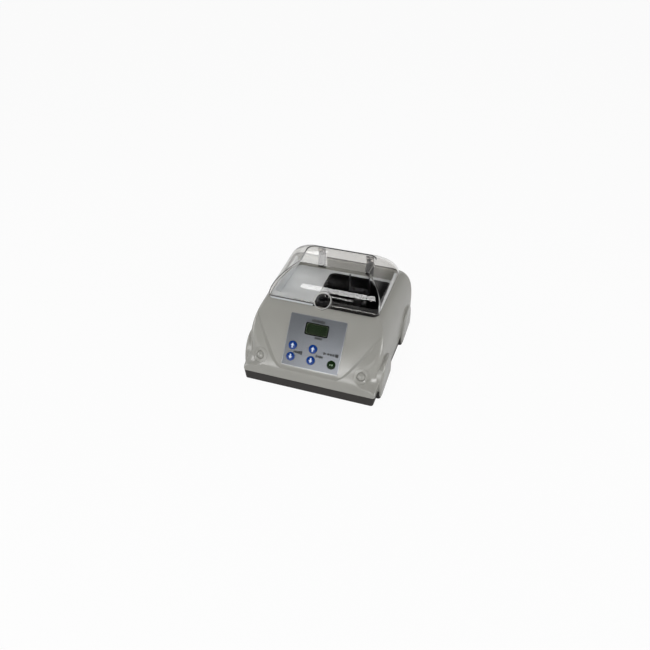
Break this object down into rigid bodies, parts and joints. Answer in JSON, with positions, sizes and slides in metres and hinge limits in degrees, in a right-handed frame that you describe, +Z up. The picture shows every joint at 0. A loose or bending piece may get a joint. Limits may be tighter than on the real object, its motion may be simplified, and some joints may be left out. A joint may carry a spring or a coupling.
{
  "type": "capsule mixer",
  "caption": "Bench capsule mixer: sloping grey casing with keypad and display, clear hinged lid over a black well with a sprung capsule clip on a motor-driven wobble arm.",
  "frame": {"origin": "on the table under the middle of the body", "axes": "+X to the right seen from the keypad, +Y to the back where the mains inlet is, +Z up"},
  "size_m": [0.231, 0.224, 0.146],
  "materials": {
    "grey_shell": "glossy moulded plastic",
    "dark_base": "matt moulded plastic",
    "clear_lid": "clear polished plastic",
    "smoked_arm": "smoked polished plastic",
    "black_casting": "black painted casting",
    "black_liner": "satin black plastic",
    "silver_film": "printed silver film",
    "blue_key": "glossy blue plastic",
    "green_key": "glossy dark green plastic",
    "display_glass": "dark display window",
    "display": "grey-green display",
    "circuit_board": "green board lacquer",
    "black_plastic": "black plastic",
    "rubber": "soft black rubber",
    "steel": "bare steel",
    "zinc_steel": "zinc plated steel",
    "cast_metal": "die-cast aluminium",
    "stator_iron": "lacquered iron and windings",
    "bronze": "sintered bronze",
    "spring_steel": "spring steel strip"
  },
  "bodies": {
    "mixer_body": {"casing": "grey_shell", "deck_plate": "grey_shell", "dome_cap_left": "grey_shell", "dome_cap_right": "grey_shell", "base_tray": "dark_base", "rubber_feet": "rubber", "base_screws": "zinc_steel", "well_liner": "black_liner", "shaft_seal": "rubber", "tether": "rubber", "tether_anchor": "zinc_steel", "hinge_pins": "steel", "panel_overlay": "silver_film", "lcd_window": "display_glass", "lcd_module": "display", "key_switches": "black_plastic", "control_board": "circuit_board", "board_screws": "zinc_steel", "power_board": "circuit_board", "board_parts": "black_plastic", "transformer": "stator_iron", "motor_can": "zinc_steel", "motor_stator": "stator_iron", "motor_front_bell": "cast_metal", "motor_back_bell": "cast_metal", "motor_bushings": "bronze", "motor_bracket": "zinc_steel", "bracket_grommets": "rubber", "motor_screws": "zinc_steel", "interlock_switch": "black_plastic", "back_panel": "black_plastic", "back_panel_screws": "zinc_steel", "mains_inlet": "black_plastic", "inlet_blades": "steel", "fuse_holder": "black_plastic", "switch_frame": "black_plastic"},
    "lid": {"lid": "clear_lid", "lid_knob": "clear_lid", "hinge_arm_left": "smoked_arm", "hinge_arm_right": "smoked_arm", "hinge_arm_screws": "zinc_steel"},
    "rotor": {"motor_shaft": "steel", "rotor_core": "stator_iron", "wobble_sleeve": "steel", "bearing_inner_ring": "steel", "bearing_balls": "steel", "shaft_collar": "steel"},
    "arm": {"mixing_arm": "black_casting", "bearing_outer_ring": "steel", "capsule_clip": "spring_steel", "clip_screws": "zinc_steel"},
    "key_speed_up_body": {"key_speed_up": "blue_key"},
    "key_speed_down_body": {"key_speed_down": "blue_key"},
    "key_time_up_body": {"key_time_up": "blue_key"},
    "key_time_down_body": {"key_time_down": "blue_key"},
    "key_start_stop_body": {"key_start_stop": "green_key"},
    "power_rocker_body": {"power_rocker": "black_plastic"},
    "fuse_cap_body": {"fuse_cap": "black_plastic"},
    "interlock_plunger_body": {"interlock_plunger": "black_plastic"}
  },
  "joints": [
    {"name": "lid_hinge", "type": "hinge", "parent": "mixer_body", "child": "lid", "pos_m": [0, 0.094, 0.1005], "axis": [-1, 0, 0], "range_deg": [0, 82]},
    {"name": "rotor_spin", "type": "hinge", "parent": "mixer_body", "child": "rotor", "pos_m": [0.034, 0.054, 0.06], "axis": [1, 0, 0], "continuous": true},
    {"name": "arm_rock", "type": "hinge", "parent": "mixer_body", "child": "arm", "pos_m": [0.034, 0.054, 0.06], "axis": [0, 1, 0], "range_deg": [-8, 8], "stiffness_Nm_per_rad": 1},
    {"name": "key_speed_up_press", "type": "slide", "parent": "mixer_body", "child": "key_speed_up_body", "axis": [0, 0.7587, -0.6514], "range_m": [0, 0.0008], "stiffness_N_per_m": 500},
    {"name": "key_speed_down_press", "type": "slide", "parent": "mixer_body", "child": "key_speed_down_body", "axis": [0, 0.7587, -0.6514], "range_m": [0, 0.0008], "stiffness_N_per_m": 500},
    {"name": "key_time_up_press", "type": "slide", "parent": "mixer_body", "child": "key_time_up_body", "axis": [0, 0.7587, -0.6514], "range_m": [0, 0.0008], "stiffness_N_per_m": 500},
    {"name": "key_time_down_press", "type": "slide", "parent": "mixer_body", "child": "key_time_down_body", "axis": [0, 0.7587, -0.6514], "range_m": [0, 0.0008], "stiffness_N_per_m": 500},
    {"name": "key_start_stop_press", "type": "slide", "parent": "mixer_body", "child": "key_start_stop_body", "axis": [0, 0.7587, -0.6514], "range_m": [0, 0.0008], "stiffness_N_per_m": 500},
    {"name": "power_rocker_tilt", "type": "hinge", "parent": "mixer_body", "child": "power_rocker_body", "pos_m": [-0.014, 0.1087, 0.035], "axis": [1, 0, 0], "range_deg": [0, 16]},
    {"name": "fuse_cap_turn", "type": "hinge", "parent": "mixer_body", "child": "fuse_cap_body", "pos_m": [-0.0345, 0.1, 0.035], "axis": [0, 1, 0], "range_deg": [0, 60]},
    {"name": "interlock_slide", "type": "slide", "parent": "mixer_body", "child": "interlock_plunger_body", "axis": [0, 0, 1], "range_m": [0, 0.001]}
  ],
  "couplings": [
    {"joint": "interlock_slide", "follows": "lid_hinge", "m_per_rad": 0.0006984}
  ]
}
